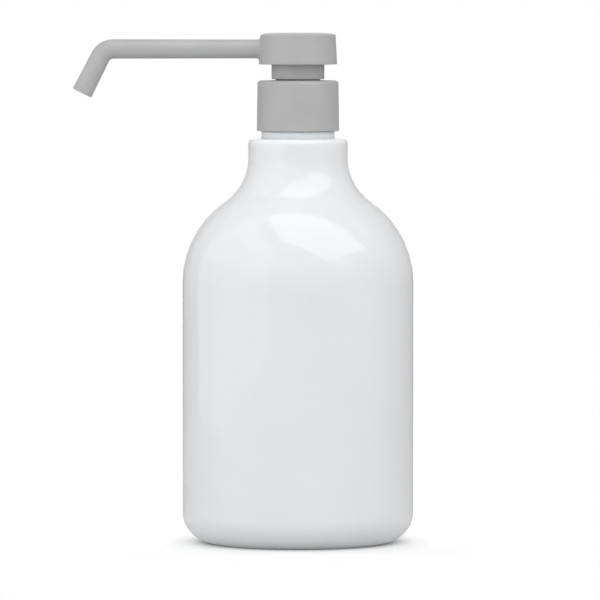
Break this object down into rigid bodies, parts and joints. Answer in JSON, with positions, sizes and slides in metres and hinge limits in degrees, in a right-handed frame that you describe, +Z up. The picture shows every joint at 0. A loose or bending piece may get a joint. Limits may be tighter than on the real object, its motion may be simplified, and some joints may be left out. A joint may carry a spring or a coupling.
{
  "type": "pump bottle",
  "caption": "Round white bottle with a domed shoulder and a grey screw-on hand pump, its long bent spout held low by the pump's lock.",
  "frame": {"origin": "on the bottle's axis, at the plane that its base ring stands on", "axes": "+Z up along the bottle's axis; the spout points along -X"},
  "size_m": [0.118, 0.08, 0.1766],
  "materials": {
    "bottle_white": "gloss",
    "pump_grey": "satin",
    "natural_plastic": "satin",
    "soft_seal": "matte",
    "steel": "polished"
  },
  "bodies": {
    "bottle": {"bottle": "bottle_white"},
    "pump_unit": {"pump_housing": "natural_plastic", "lock_collar": "pump_grey", "gasket": "soft_seal", "dip_tube": "natural_plastic", "return_spring": "steel"},
    "closure": {"closure": "pump_grey"},
    "plunger": {"stem": "natural_plastic", "piston_rod": "natural_plastic"},
    "head": {"actuator_head": "pump_grey"},
    "piston": {"piston": "soft_seal"},
    "valve_ball": {"valve_ball": "steel"}
  },
  "joints": [
    {"name": "closure_turn", "type": "hinge", "parent": "pump_unit", "child": "closure", "pos_m": [0, 0, 0.15], "axis": [0, 0, 1], "range_deg": [0, 450]},
    {"name": "pump_lift", "type": "slide", "parent": "bottle", "child": "pump_unit", "axis": [0, 0, 1], "range_m": [0, 0.00397]},
    {"name": "head_travel", "type": "slide", "parent": "pump_unit", "child": "plunger", "axis": [0, 0, 1], "range_m": [0, 0.014], "deforming": ["return_spring"]},
    {"name": "head_swivel", "type": "hinge", "parent": "plunger", "child": "head", "pos_m": [0, 0, 0.165], "axis": [0, 0, 1], "continuous": true},
    {"name": "piston_float", "type": "slide", "parent": "plunger", "child": "piston", "axis": [0, 0, 1], "range_m": [0, 0.001]},
    {"name": "ball_lift", "type": "slide", "parent": "pump_unit", "child": "valve_ball", "axis": [0, 0, 1], "range_m": [0, 0.0015]}
  ],
  "couplings": [
    {"joint": "pump_lift", "follows": "closure_turn", "m_per_rad": 0.00050532}
  ]
}
